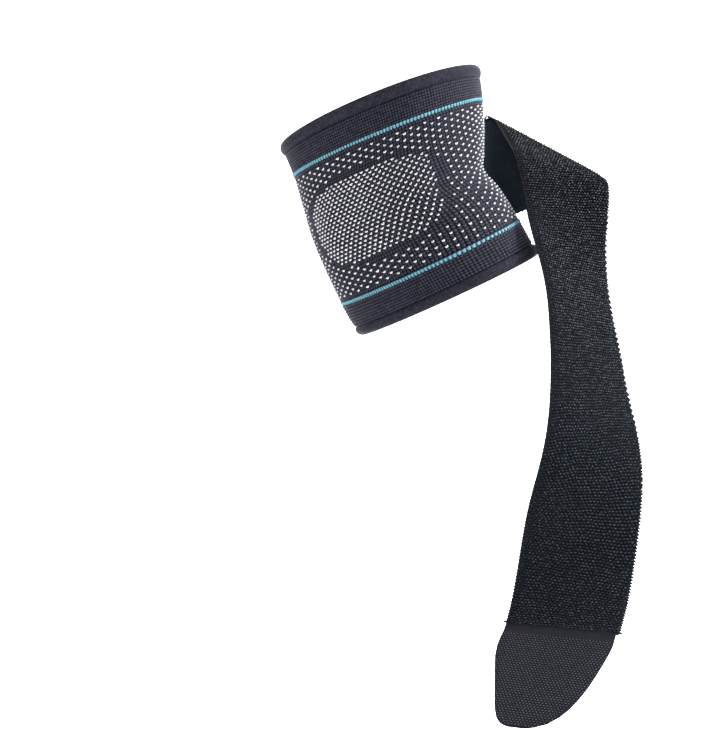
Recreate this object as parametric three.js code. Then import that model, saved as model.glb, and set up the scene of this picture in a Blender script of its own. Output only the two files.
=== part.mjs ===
// Elbow support: a knitted forearm sleeve, an elastic loop strap and the strap's hook tab.
// Millimetres, +Z up, +X to the right and +Y away from someone facing the oval pad.
// The origin is the middle of the sleeve's hollow.
import * as THREE from 'three';

// Driving sizes
const KNIT_WALL = 2.0;
const HEM_TALL = 5.0;
const HEM_OUT = 1.3;
const HEM_GROOVE = 0.5;
const GROOVE_TALL = 1.6;

const PAD = { turn: 249, down: 46.2, halfTurn: 48, halfTall: 24, rise: 1.8 };

const STRAP_WIDTH = 50;
const STRAP_THICK = 2.0;
const STRAP_LENGTH = 316;
const STRAP_SEWN = 30;
const SEWN_GAP = 0.3;
const TAB_GAP = 0.3;
const TAB_THICK = 1.6;

// How finely each piece is divided
const SLEEVE_GRID = { around: 72, hem: 8, body: 12, inside: 10 };
const STRAP_GRID = { across: 8, root: 20, roll: 9, hang: 50 };
const TAB_ACROSS = 10;

// The sleeve, one row per section from the top hem down. down is measured along the sleeve's side.
// rise is the slope of the section's long axis in degrees; lean tips its back edge up, per mm of depth.
const SLEEVE_SECTIONS = [
  { down: 0.0, x: -17.1, y: -2.0, z: 43.8, halfWidth: 50.0, halfDepth: 45.0, rise: 21.4, lean: 0.0 },
  { down: 14.7, x: -13.1, y: -1.5, z: 29.8, halfWidth: 48.2, halfDepth: 44.0, rise: 21.7, lean: 0.05 },
  { down: 29.0, x: -10.7, y: -0.7, z: 16.2, halfWidth: 46.7, halfDepth: 43.0, rise: 23.0, lean: 0.065 },
  { down: 43.6, x: -8.8, y: 0.0, z: 2.3, halfWidth: 44.85, halfDepth: 42.0, rise: 24.4, lean: 0.08 },
  { down: 51.0, x: -7.5, y: 0.6, z: -4.6, halfWidth: 43.8, halfDepth: 41.8, rise: 25.3, lean: 0.085 },
  { down: 61.0, x: -1.7, y: 1.1, z: -13.7, halfWidth: 45.5, halfDepth: 41.6, rise: 25.3, lean: 0.095 },
  { down: 77.7, x: 7.4, y: 2.0, z: -29.4, halfWidth: 46.7, halfDepth: 41.5, rise: 25.3, lean: 0.11 },
  { down: 86.5, x: 12.2, y: 2.5, z: -37.7, halfWidth: 46.7, halfDepth: 40.8, rise: 25.6, lean: 0.1 },
  { down: 94.6, x: 16.7, y: 3.0, z: -44.8, halfWidth: 46.2, halfDepth: 40.0, rise: 24.8, lean: 0.085 },
];
const SLEEVE_LENGTH = SLEEVE_SECTIONS.at(-1).down;

// Where the strap leaves the sleeve's back, and which way its length and its upper edge run there.
const STRAP_ROOT = { x: 9.0, y: 45.0, z: 7.5, rise: 21, forward: -0.24, topBack: 0.08 };
const STRAP_SEAT = { turn: 75, down: 41, along: -5 };
const STRAP_PEEL = { from: -4, to: 36 };

// The diagonal fold: where its line crosses the strap's middle, its slant, and the roll's size.
const FOLD = { along: 57.5, slant: 50, radius: 4.5, turn: 116 };

// How the strap hangs after the fold, in degrees per 100 mm of its length.
const STRAP_HANG = [
  { along: 80, bend: -260, twist: -15 },
  { along: 100, bend: -50, twist: 55 },
  { along: 120, bend: 55, twist: 40 },
  { along: 145, bend: 0, twist: 20 },
  { along: 170, bend: -20, twist: -15 },
  { along: 190, bend: -10, twist: -15 },
  { along: 205, bend: 5, twist: -35 },
  { along: 220, bend: -60, twist: -50 },
  { along: 235, bend: -100, twist: -60 },
  { along: 255, bend: -30, twist: -80 },
  { along: 280, bend: 135, twist: -55 },
  { along: 300, bend: 125, twist: -50 },
  { along: 320, bend: 0, twist: 0 },
];

// The tab's outline, one row per distance from the weld: its left and right edges across the strap.
const TAB_ROWS = [
  { along: 0.0, left: 24.9, right: -24.0 },
  { along: 4.0, left: 25.1, right: -24.0 },
  { along: 7.0, left: 25.5, right: -23.9 },
  { along: 12.0, left: 25.8, right: -23.0 },
  { along: 18.0, left: 25.2, right: -21.6 },
  { along: 24.0, left: 23.8, right: -20.0 },
  { along: 30.0, left: 22.2, right: -18.2 },
  { along: 36.0, left: 20.7, right: -15.9 },
  { along: 42.0, left: 19.1, right: -13.0 },
  { along: 46.5, left: 17.8, right: -9.8 },
  { along: 50.5, left: 16.1, right: -5.6 },
  { along: 52.8, left: 14.0, right: -0.9 },
  { along: 54.2, left: 10.6, right: 3.6 },
];

const vec = (x, y, z) => new THREE.Vector3(x, y, z);
const rad = THREE.MathUtils.degToRad;
const ramp = THREE.MathUtils.smoothstep;

// Smooth curve through a table's rows: returns a function of the first column.
function smoothTable(rows, key) {
  const columns = Object.keys(rows[0]).filter((name) => name !== key);
  const places = rows.map((row) => row[key]);
  const values = rows.flatMap((row) => columns.map((name) => row[name]));
  const curve = new THREE.CubicInterpolant(places, values, columns.length);
  return (place) => {
    const found = curve.evaluate(THREE.MathUtils.clamp(place, places[0], places.at(-1)));
    return Object.fromEntries(columns.map((name, i) => [name, found[i]]));
  };
}

// Straight lines through a table's rows.
function lineTable(rows, key, column) {
  return (place) => {
    const last = rows.length - 1;
    if (place <= rows[0][key]) return rows[0][column];
    if (place >= rows[last][key]) return rows[last][column];
    const i = rows.findIndex((row) => row[key] > place);
    const [a, b] = [rows[i - 1], rows[i]];
    return THREE.MathUtils.mapLinear(place, a[key], b[key], a[column], b[column]);
  };
}

// Sleeve

const sectionAt = smoothTable(SLEEVE_SECTIONS, 'down');

// Extra radius over the knitted wall: the rolled hems, the groove under each and the pad's swell.
function swell(turn, down) {
  const fromRim = Math.min(down, SLEEVE_LENGTH - down);
  let out = 0;
  if (fromRim < HEM_TALL) {
    const across = (2 * fromRim) / HEM_TALL - 1;
    out = (HEM_OUT + HEM_GROOVE) * Math.sqrt(Math.max(0, 1 - across * across)) - HEM_GROOVE;
  } else {
    out = -HEM_GROOVE * (1 - ramp(fromRim, HEM_TALL, HEM_TALL + GROOVE_TALL));
  }
  const wrapped = THREE.MathUtils.euclideanModulo(turn - PAD.turn + 180, 360) - 180;
  const reach = Math.hypot(wrapped / PAD.halfTurn, (down - PAD.down) / PAD.halfTall);
  return out + PAD.rise * (1 - ramp(reach, 0.55, 1.1));
}

// A point on the sleeve, turn degrees round from the right by way of the back, down mm from the top.
function sleevePoint(turn, down, out) {
  const section = sectionAt(down);
  const slope = rad(section.rise);
  const wide = vec(Math.cos(slope), 0, Math.sin(slope));
  const deep = vec(0, 1, section.lean).normalize();
  const angle = rad(turn);
  return vec(section.x, section.y, section.z)
    .addScaledVector(wide, (section.halfWidth + out) * Math.cos(angle))
    .addScaledVector(deep, (section.halfDepth + out) * Math.sin(angle));
}

// count + 1 values from one number to another
function evenly(from, to, count) {
  return Array.from({ length: count + 1 }, (_, i) => THREE.MathUtils.lerp(from, to, i / count));
}

// One closed loop round the knitted wall: down the outside, under the rim and up the inside.
function wallProfile() {
  const clear = HEM_TALL + GROOVE_TALL;
  const hem = evenly(0, Math.PI, SLEEVE_GRID.hem).map((angle) => (HEM_TALL / 2) * (1 - Math.cos(angle)));
  const mirrored = hem.map((down) => SLEEVE_LENGTH - down).reverse();
  const body = evenly(clear, SLEEVE_LENGTH - clear, SLEEVE_GRID.body);
  const rim = KNIT_WALL / 2;
  const inside = evenly(SLEEVE_LENGTH - rim, rim, SLEEVE_GRID.inside);
  return [
    ...[...hem, ...body, ...mirrored].map((down) => ({ down, outer: true })),
    ...inside.map((down) => ({ down, outer: false })),
  ];
}

// Joins rings of points into a closed skin: rings and points both wrap round.
function wrappedSkin(rings) {
  const count = rings[0].length;
  const faces = [];
  rings.forEach((ring, i) => {
    const next = (i + 1) % rings.length;
    for (let j = 0; j < count; j++) {
      const k = (j + 1) % count;
      const [a, b, c, d] = [i * count + j, i * count + k, next * count + k, next * count + j];
      faces.push(a, d, c, a, c, b);
    }
  });
  return skin(rings.flat(), faces);
}

function skin(points, faces) {
  const geometry = new THREE.BufferGeometry();
  geometry.setAttribute('position', new THREE.Float32BufferAttribute(points.flatMap((p) => p.toArray()), 3));
  geometry.setIndex(faces);
  geometry.computeVertexNormals();
  return geometry;
}

function sleeveGeometry() {
  const rings = wallProfile().map(({ down, outer }) => {
    const ring = [];
    for (let j = 0; j < SLEEVE_GRID.around; j++) {
      const turn = (360 * j) / SLEEVE_GRID.around;
      ring.push(sleevePoint(turn, down, outer ? swell(turn, down) : -KNIT_WALL));
    }
    return ring;
  });
  return wrappedSkin(rings);
}

// Strap

const bendAt = lineTable(STRAP_HANG, 'along', 'bend');
const twistAt = lineTable(STRAP_HANG, 'along', 'twist');

// The strap's middle line below the fold, laid out as if the fold were opened flat:
// x along the strap, y towards its upper edge and z out of its loop face.
function layRibbon(reach) {
  const step = 4;
  const stations = [{ place: vec(0, 0, 0), across: vec(0, 1, 0) }];
  const heading = new THREE.Quaternion();
  const place = vec(0, 0, 0);
  for (let along = step; along <= reach; along += step) {
    const middle = along - step / 2;
    const free = middle >= STRAP_HANG[0].along;
    const twist = free ? rad(twistAt(middle)) * (step / 100) : 0;
    const bend = free ? rad(bendAt(middle)) * (step / 100) : 0;
    const turn = vec(twist, -bend, 0);
    const angle = turn.length();
    const before = vec(1, 0, 0).applyQuaternion(heading);
    if (angle > 0) heading.multiply(new THREE.Quaternion().setFromAxisAngle(turn.normalize(), angle));
    const after = vec(1, 0, 0).applyQuaternion(heading);
    place.addScaledVector(before.add(after), step / 2);
    stations.push({ place: place.clone(), across: vec(0, 1, 0).applyQuaternion(heading) });
  }
  return (along, across) => {
    const t = THREE.MathUtils.clamp(along / step, 0, stations.length - 1.001);
    const i = Math.floor(t);
    const [a, b] = [stations[i], stations[i + 1]];
    const middle = along < 0 ? vec(along, 0, 0) : a.place.clone().lerp(b.place, t - i);
    return middle.addScaledVector(a.across.clone().lerp(b.across, t - i), across);
  };
}
const ribbonPoint = layRibbon(STRAP_LENGTH + 60);

// Rolls everything past the slanted fold line over towards the sleeve.
function rollOver(point) {
  const slant = rad(FOLD.slant);
  const line = new THREE.Vector2(Math.cos(slant), -Math.sin(slant));
  const over = new THREE.Vector2(Math.sin(slant), Math.cos(slant));
  const from = new THREE.Vector2(point.x - FOLD.along, point.y);
  const [t, d] = [from.dot(line), from.dot(over)];
  const full = rad(FOLD.turn);
  const angle = THREE.MathUtils.clamp(d / FOLD.radius, 0, full);
  const past = d > 0 ? d - angle * FOLD.radius : d;
  const lift = FOLD.radius + point.z;
  const reach = lift * Math.sin(angle) + past * Math.cos(angle);
  const height = lift * Math.cos(angle) - past * Math.sin(angle) - FOLD.radius;
  return vec(FOLD.along + t * line.x + reach * over.x, t * line.y + reach * over.y, height);
}

const rootSlope = rad(STRAP_ROOT.rise);
const strapAlong = vec(Math.cos(rootSlope), STRAP_ROOT.forward, Math.sin(rootSlope)).normalize();
const strapUp = vec(-Math.sin(rootSlope), STRAP_ROOT.topBack, Math.cos(rootSlope));
strapUp.addScaledVector(strapAlong, -strapUp.dot(strapAlong)).normalize();
const strapOut = strapUp.clone().cross(strapAlong);

// The middle surface of the strap at a distance along it and across it.
function strapMiddle(along, across) {
  const rolled = rollOver(ribbonPoint(along, across));
  const free = vec(STRAP_ROOT.x, STRAP_ROOT.y, STRAP_ROOT.z)
    .addScaledVector(strapAlong, rolled.x)
    .addScaledVector(strapUp, rolled.y)
    .addScaledVector(strapOut, rolled.z);
  const peel = ramp(along, STRAP_PEEL.from, STRAP_PEEL.to);
  if (peel >= 1) return free;
  const section = sectionAt(STRAP_SEAT.down);
  const perMm = 180 / Math.PI / ((section.halfWidth + section.halfDepth) / 2);
  const turn = STRAP_SEAT.turn - (along - STRAP_SEAT.along) * perMm;
  const seated = sleevePoint(turn, STRAP_SEAT.down - across, SEWN_GAP + STRAP_THICK / 2);
  return seated.lerp(free, peel);
}

// Outward direction of the strap's loop face.
function strapNormal(along, across) {
  const h = 0.4;
  const lengthways = strapMiddle(along + h, across).sub(strapMiddle(along - h, across));
  const crossways = strapMiddle(along, across + h).sub(strapMiddle(along, across - h));
  return crossways.cross(lengthways).normalize();
}

// A slab between two faces of a grid: rows of { along, across } places, thick through the middle.
function slab(rows, thick) {
  const count = rows[0].length;
  const points = [];
  for (const side of [1, -1]) {
    for (const { along, across } of rows.flat()) {
      const offset = strapNormal(along, across).multiplyScalar((side * thick) / 2);
      points.push(strapMiddle(along, across).add(offset));
    }
  }
  const under = rows.length * count;
  const faces = [];
  const quad = (a, b, c, d) => faces.push(a, c, b, a, d, c);
  for (let i = 0; i + 1 < rows.length; i++) {
    for (let j = 0; j + 1 < count; j++) {
      const a = i * count + j;
      quad(a, a + 1, a + count + 1, a + count);
      quad(under + a, under + a + count, under + a + count + 1, under + a + 1);
    }
    const [a, b] = [i * count, i * count + count - 1];
    quad(a, a + count, under + a + count, under + a);
    quad(b, under + b, under + b + count, b + count);
  }
  const last = (rows.length - 1) * count;
  for (let j = 0; j + 1 < count; j++) {
    quad(j + 1, j, under + j, under + j + 1);
    quad(last + j, last + j + 1, under + last + j + 1, under + last + j);
  }
  return skin(points, faces);
}

// Rows of the strap: square to its length at the ends, swung onto the fold's slant near the fold.
function strapRows() {
  const rollLength = (FOLD.radius * rad(FOLD.turn)) / Math.sin(rad(FOLD.slant));
  const foldEnd = FOLD.along + rollLength;
  const places = [
    ...evenly(-STRAP_SEWN, FOLD.along, STRAP_GRID.root).slice(0, -1),
    ...evenly(FOLD.along, foldEnd, STRAP_GRID.roll).slice(0, -1),
    ...evenly(foldEnd, STRAP_LENGTH, STRAP_GRID.hang),
  ];
  return places.map((place) => {
    const swing = ramp(place, 0, FOLD.along - 4) * (1 - ramp(place, foldEnd + 4, foldEnd + 70));
    return evenly(STRAP_WIDTH / 2, -STRAP_WIDTH / 2, STRAP_GRID.across).map((across) => ({
      along: place - (across / Math.tan(rad(FOLD.slant))) * swing,
      across,
    }));
  });
}

function tabRows() {
  const weld = STRAP_LENGTH + TAB_GAP;
  return TAB_ROWS.map(({ along, left, right }) =>
    evenly(left, right, TAB_ACROSS).map((across) => ({ along: weld + along, across })),
  );
}

// Assembly

function piece(name, geometry, colour, roughness) {
  const mesh = new THREE.Mesh(geometry, new THREE.MeshStandardMaterial({ color: colour, roughness }));
  mesh.name = name;
  return mesh;
}

const elbowSupport = new THREE.Group();
elbowSupport.name = 'elbow_support';
elbowSupport.add(
  piece('sleeve', sleeveGeometry(), 0x3a3742, 0.95),
  piece('strap', slab(strapRows(), STRAP_THICK), 0x24262b, 0.95),
  piece('strap_tab', slab(tabRows(), TAB_THICK), 0x2c2a33, 0.8),
);

export default elbowSupport;
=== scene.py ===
# %% [markdown]
# # An elbow support, knitted and strapped
# The object is an elbow support: a knitted sleeve with an elastic strap. This lesson builds its looks
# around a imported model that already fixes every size: each surface here is a formula worked out with
# numpy on whole arrays, then handed to Blender as one mesh.

import bpy
import numpy as np
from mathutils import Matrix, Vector


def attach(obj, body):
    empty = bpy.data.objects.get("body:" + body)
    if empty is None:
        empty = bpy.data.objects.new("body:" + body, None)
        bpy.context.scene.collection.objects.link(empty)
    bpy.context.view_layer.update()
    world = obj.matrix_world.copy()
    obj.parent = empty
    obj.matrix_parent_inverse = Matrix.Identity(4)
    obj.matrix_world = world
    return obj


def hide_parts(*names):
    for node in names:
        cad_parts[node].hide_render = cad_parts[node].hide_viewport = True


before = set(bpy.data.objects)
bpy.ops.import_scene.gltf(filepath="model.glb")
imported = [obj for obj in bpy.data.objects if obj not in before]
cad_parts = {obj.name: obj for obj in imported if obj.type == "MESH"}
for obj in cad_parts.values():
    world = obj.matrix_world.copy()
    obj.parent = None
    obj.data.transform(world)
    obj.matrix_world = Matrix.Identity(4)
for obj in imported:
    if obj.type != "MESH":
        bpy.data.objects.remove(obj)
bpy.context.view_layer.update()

MM = 0.001
rng = np.random.default_rng(6091)

# %% [markdown]
# ## Tools used all through
# A colour on a screen is stored as sRGB, while the renderer adds up light, so each hex value is turned
# to linear once, here. One function adds a shader node and gives back its output, so nodes can feed one
# another. Others turn arrays into meshes: a grid of points into quads, a path into a tube, and one small
# shape into many copies.


# %% Colours and shader nodes
def linear(hex_colour):
    """sRGB hex to linear: below 0.04045 divide by 12.92, above it ((c + 0.055) / 1.055) to the 2.4."""
    c = np.array([int(hex_colour[i : i + 2], 16) for i in (1, 3, 5)]) / 255
    c = np.where(c <= 0.04045, c / 12.92, ((c + 0.055) / 1.055) ** 2.4)
    return (*c.tolist(), 1.0)


MATH, MIX = "ShaderNodeMath", "ShaderNodeMix"


def add_node(tree, kind, inputs=(), out=0, **settings):
    """Add a node, set its properties, link or set its inputs in order or by name, and give an output."""
    made = tree.nodes.new(kind)
    for name, value in settings.items():
        setattr(made, name, value)
    for socket, value in inputs.items() if isinstance(inputs, dict) else enumerate(inputs):
        if isinstance(value, bpy.types.NodeSocket):
            tree.links.new(value, made.inputs[socket])
        else:
            made.inputs[socket].default_value = value
    return made.outputs[out]


def new_material(name, **sockets):
    """A Principled material with plain numbers on its sockets; returns it, its tree and its shader."""
    material = bpy.data.materials.new(name)
    material.use_nodes = True
    tree = material.node_tree
    shader = tree.nodes["Principled BSDF"]
    for socket, value in sockets.items():
        shader.inputs[socket.replace("_", " ")].default_value = value
    return material, tree, shader


# %% Arrays to meshes
def grid_faces(rows, columns, wrap_rows=False, wrap_columns=False):
    """Quads between neighbouring rows and columns of a grid, and each corner's unwrapped row, column."""
    i = np.arange(rows if wrap_rows else rows - 1)[:, None, None]
    j = np.arange(columns if wrap_columns else columns - 1)[None, :, None]
    corner_i, corner_j = np.broadcast_arrays(i + np.array([0, 0, 1, 1]), j + np.array([0, 1, 1, 0]))
    corner_i, corner_j = corner_i.reshape(-1, 4), corner_j.reshape(-1, 4)
    return (corner_i % rows) * columns + corner_j % columns, corner_i, corner_j


def straight_path(stations, axis):
    """A straight path along one axis, through the given stations."""
    path = np.zeros((len(stations), 3))
    path[:, axis] = stations
    return path


def tube(path, radii, sides, flat=1.0):
    """A ring carried along a path in the x-y or x-z plane: centre + r (cos a across + flat sin a up)."""
    path, radii = np.asarray(path, float), np.asarray(radii, float)
    along = np.gradient(path, axis=0)
    along /= np.linalg.norm(along, axis=1, keepdims=True)
    upright = np.ptp(path[:, 1]) == 0
    up = np.cross([0.0, 1.0, 0.0], along) if upright else np.tile([0.0, 0.0, 1.0], (len(path), 1))
    across = np.cross(along, up)
    a = np.linspace(0, 2 * np.pi, sides, endpoint=False)
    ring = across[:, None] * np.cos(a)[None, :, None] + flat * up[:, None] * np.sin(a)[None, :, None]
    points = path[:, None] + radii[:, None, None] * ring
    quads, _, _ = grid_faces(len(path), sides, wrap_columns=True)
    fan = np.stack([np.zeros(sides - 2, int), np.arange(1, sides - 1), np.arange(2, sides)], 1)
    last = (len(path) - 1) * sides
    faces = np.concatenate([quads[:, :3], quads[:, [0, 2, 3]], fan[:, ::-1], fan + last])
    return points.reshape(-1, 3), faces


def copies(points, faces, places, frames):
    """One small shape at many places: place + x right + y up + z out, with right, up, out in frames."""
    spread = places[:, None] + np.einsum("tk,nkd->ntd", points, frames)
    numbers = faces[None] + (np.arange(len(places)) * len(points))[:, None, None]
    return spread.reshape(-1, 3), numbers.reshape(-1, faces.shape[1])


def add_piece(name, points, faces, material, corner_uv=None, attributes=None):
    """Put points in millimetres and faces into a smooth mesh, with corner UVs and point attributes."""
    mesh = bpy.data.meshes.new(name)
    mesh.from_pydata((points * MM).tolist(), [], faces.tolist())
    mesh.shade_smooth()
    if corner_uv is not None:
        mesh.uv_layers.new(name="stitches").data.foreach_set("uv", corner_uv.astype("f4").ravel())
    for label, values in (attributes or {}).items():
        mesh.attributes.new(label, "FLOAT", "POINT").data.foreach_set("value", values.astype("f4").ravel())
    mesh.materials.append(material)
    piece = bpy.data.objects.new(name, mesh)
    bpy.context.scene.collection.objects.link(piece)
    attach(piece, "root")
    print(f"{name}: {len(points)} points, {int((np.shape(faces)[1] - 2) * len(faces))} triangles")
    return piece


def unit(v):
    """Each vector over its own length."""
    return v / np.linalg.norm(v, axis=-1, keepdims=True)


# %% [markdown]
# ## The sleeve's form
# The real sleeve is one seamless knitted tube, shown as it is when worn and stretched. Nine oval
# sections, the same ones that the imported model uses, give its width, depth, slope and place from the top
# hem down. A cubic runs through the rows, so that any point is a function of turn, down and out.

# %% Sleeve sections
SECTION_DOWN = np.array([0.0, 14.7, 29.0, 43.6, 51.0, 61.0, 77.7, 86.5, 94.6])
SECTION_ROWS = np.array([
    # x, y, z, half width, half depth, rise in degrees, lean
    (-17.1, -2.0, 43.8, 50.0, 45.0, 21.4, 0.0),
    (-13.1, -1.5, 29.8, 48.2, 44.0, 21.7, 0.05),
    (-10.7, -0.7, 16.2, 46.7, 43.0, 23.0, 0.065),
    (-8.8, 0.0, 2.3, 44.85, 42.0, 24.4, 0.08),
    (-7.5, 0.6, -4.6, 43.8, 41.8, 25.3, 0.085),
    (-1.7, 1.1, -13.7, 45.5, 41.6, 25.3, 0.095),
    (7.4, 2.0, -29.4, 46.7, 41.5, 25.3, 0.11),
    (12.2, 2.5, -37.7, 46.7, 40.8, 25.6, 0.10),
    (16.7, 3.0, -44.8, 46.2, 40.0, 24.8, 0.085),
])
SLEEVE_LENGTH = SECTION_DOWN[-1]


def through_rows(places, rows, at):
    """Cubic Hermite through a table: inner slopes join each row's neighbours, end slopes bend freely."""
    step = np.diff(places)[:, None]
    rise = np.diff(rows, axis=0) / step
    inner = (rows[2:] - rows[:-2]) / (places[2:] - places[:-2])[:, None]
    slopes = np.vstack([1.5 * rise[:1] - 0.5 * inner[:1], inner, 1.5 * rise[-1:] - 0.5 * inner[-1:]])
    k = np.clip(np.searchsorted(places, at, side="right") - 1, 0, len(places) - 2)
    h = step[k]
    t = ((at - places[k]) / step[k, 0])[..., None]
    return (
        rows[k] * (2 * t**3 - 3 * t**2 + 1)
        + slopes[k] * h * (t**3 - 2 * t**2 + t)
        + rows[k + 1] * (3 * t**2 - 2 * t**3)
        + slopes[k + 1] * h * (t**3 - t**2)
    )


def sleeve_point(turn, down, out):
    """Centre + (half width + out) cos(turn) wide + (half depth + out) sin(turn) deep, in each section."""
    turn, down, out = np.broadcast_arrays(turn, down, out)
    x, y, z, wide, deep, rise, lean = np.moveaxis(through_rows(SECTION_DOWN, SECTION_ROWS, down), -1, 0)
    slope, angle = np.radians(rise), np.radians(turn)
    e_wide = np.stack([np.cos(slope), 0 * slope, np.sin(slope)], -1)
    e_deep = unit(np.stack([0 * lean, 1 + 0 * lean, lean], -1))
    centre = np.stack([x, y, z], -1)
    return (
        centre
        + ((wide + out) * np.cos(angle))[..., None] * e_wide
        + ((deep + out) * np.sin(angle))[..., None] * e_deep
    )


# Small steps, in degrees and millimetres, that directions are measured over
TURN_STEP, DOWN_STEP = 0.3, 0.2


def sleeve_frames(turn, down, out):
    """Place and the course, wale-up and outward directions on the sleeve, by small differences."""
    place = sleeve_point(turn, down, out)
    course = unit(sleeve_point(turn + TURN_STEP, down, out) - sleeve_point(turn - TURN_STEP, down, out))
    up = unit(sleeve_point(turn, down - DOWN_STEP, out) - sleeve_point(turn, down + DOWN_STEP, out))
    outward = unit(np.cross(up, course))
    outward *= np.sign((outward * (sleeve_point(turn, down, out + 1.0) - place)).sum(-1, keepdims=True))
    return place, np.stack([course, up, outward], -2)


print("sleeve front at mid height:", sleeve_point(270.0, 47.0, 0.0).round(1))

# %% [markdown]
# ## The knit's relief
# Up close the knit is all relief: a rolled hem with a groove under it, eight ribs of the cuff, and the
# small swell of every stitch. These shapes show, so they are in the mesh and not only in a bump map.
# The grid is laid on the knit itself: three points to each wale, the upright line of stitches, and rows
# that keep step with the ribs and courses.

# %% Knit layout
WALES = 160
COURSES = 40
RIBS = 8
KNIT_WALL = 2.0
HEM_TALL, HEM_OUT, GROOVE, GROOVE_TALL = 5.0, 1.3, 0.5, 0.7
STRIPE_DOWN = np.array([15.7, 77.6])
STRIPE_TALL, STRIPE_EDGE = 1.8, 0.2
RIB_TOP = HEM_TALL + GROOVE_TALL
RIB_PITCH = (STRIPE_DOWN[0] - STRIPE_TALL / 2 - RIB_TOP) / RIBS
RIB_PITCH_LOW = (SLEEVE_LENGTH - STRIPE_DOWN[1] - STRIPE_TALL / 2 - RIB_TOP) / RIBS
FIELD_TOP = STRIPE_DOWN[0] + STRIPE_TALL / 2 + STRIPE_EDGE
FIELD_LOW = STRIPE_DOWN[1] - STRIPE_TALL / 2 - STRIPE_EDGE
# The wales crowd together at the pad. The strap's pull drags them to the right on the way down, and the
# cuff holds them a little to the right at the top.
CROWD, CROWD_TURN, CROWD_REACH = 0.396, 243.0, 26.0
DRAG_LEAST, DRAG_MORE, DRAG_TURN, DRAG_POWER = 3.0, 22.0, 340.0, 4.5
DRAG_FROM, DRAG_TO = 22.0, 68.0
HELD, HELD_TURN, HELD_REACH, HELD_TO = 2.5, 255.0, 30.0, 34.0
# The courses are closer at both stripes than in the middle.
CLOSER = 0.07
# Half heights of the cuff's ribs and of the field's wales and courses
RIB_SWELL, WALE_SWELL, COURSE_SWELL = 0.25, 0.12, 0.08
# Rows of points on the hem and inside, and how far from the rim the inside starts
HEM_ROWS, INNER_ROWS, INNER_FROM_RIM = 10, 9, 1.0
# Points of the grid to each wale, course and rib
PER_STITCH = 3
DRIFT_TRIES = 12


def smooth_step(low, high, x):
    """0 below low, 1 above high, and 3 t squared minus 2 t cubed between."""
    t = np.clip((x - low) / (high - low), 0, 1)
    return t * t * (3 - 2 * t)


def plateau(levels, x):
    """Rises from the first level to the second, stays at 1, and falls from the third to the fourth."""
    start, full, ease, end = levels
    return smooth_step(start, full, x) * (1 - smooth_step(ease, end, x))


def drift(turn, down):
    """Degrees that a wale has moved: a raised cosine growing down the sleeve, and a bell at the top."""
    share = (0.5 + 0.5 * np.cos(np.radians(turn - DRAG_TURN))) ** DRAG_POWER
    dragged = (DRAG_LEAST + DRAG_MORE * share) * smooth_step(DRAG_FROM, DRAG_TO, down)
    bell = np.exp(-((((turn - HELD_TURN + 180) % 360 - 180) / HELD_REACH) ** 2))
    return dragged + HELD * bell * (1 - smooth_step(FIELD_TOP, HELD_TO, down))


def even_wale(turn):
    """Wales counted round: an even count plus a tanh step, which crowds them about one turn."""
    even = 1 - 2 * CROWD * CROWD_REACH / 360
    step = CROWD * CROWD_REACH * (np.tanh((turn - CROWD_TURN) / CROWD_REACH) + 1)
    return WALES / 360 * (even * turn + step)


FINE_TURN = np.linspace(-60, 360, 8401)
FINE_WALE = even_wale(FINE_TURN)


def wale_of(turn, down):
    """The wale at a place: the count above, after the drift is taken off the turn."""
    return even_wale(turn - drift(turn, down))


def turn_of(wale, down):
    """The turn of a wale: the count read back from a fine table, then the drift added by repeated tries."""
    straight = np.interp(wale, FINE_WALE, FINE_TURN)
    turn = straight
    for _ in range(DRIFT_TRIES):
        turn = straight + drift(turn, down)
    return turn


def course_of(down):
    """Courses counted down from the field's top: an even count plus a sine that crowds both ends."""
    t = (down - FIELD_TOP) / (FIELD_LOW - FIELD_TOP)
    return COURSES * (t + CLOSER * np.sin(2 * np.pi * t) / (2 * np.pi))


FINE_DOWN = np.linspace(FIELD_TOP, FIELD_LOW, 2001)
FINE_COURSE = course_of(FINE_DOWN)


def down_of(course):
    """The place down the sleeve of a course, read back from a fine table of the count above."""
    return np.interp(course, FINE_COURSE, FINE_DOWN)


# %% Knit relief
PAD_TURN, PAD_DOWN, PAD_RISE = 249.8, 46.1, 1.5
# Half turn in degrees, half height, power and skew of the dotted oval and of the dark band's outer edge
OVAL = (44.3, 17.6, 3.9, 0.146)
BAND = (52.2, 20.4, 2.5, 0.233)
# Shares of the oval between which the pad's rise falls away
PAD_FULL, PAD_GONE = 0.6, 1.1
# Slow waves of the cloth: height, waves round, radians per millimetre down, and start
EASE_WAVES = ((0.22, 3, 0.05, 0.0), (0.16, 5, -0.09, 1.0))
EASE_FROM_RIM = 12.0


def pad_reach(turn, down, half_turn, half_down, power, skew):
    """1 on a rounded oblong's edge: shares of the half sizes to a power, added, and the root taken."""
    beside = (turn - PAD_TURN + 180) % 360 - 180 - skew * (down - PAD_DOWN)
    wide, tall = np.abs(beside) / half_turn, np.abs(down - PAD_DOWN) / half_down
    return (wide**power + tall**power) ** (1 / power)


def rib_phase(down):
    """Ribs counted from the hem's groove, at either end of the sleeve."""
    above = (down - RIB_TOP) / RIB_PITCH
    below = (SLEEVE_LENGTH - down - RIB_TOP) / RIB_PITCH_LOW
    return np.where(down < SLEEVE_LENGTH / 2, above, below)


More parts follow.
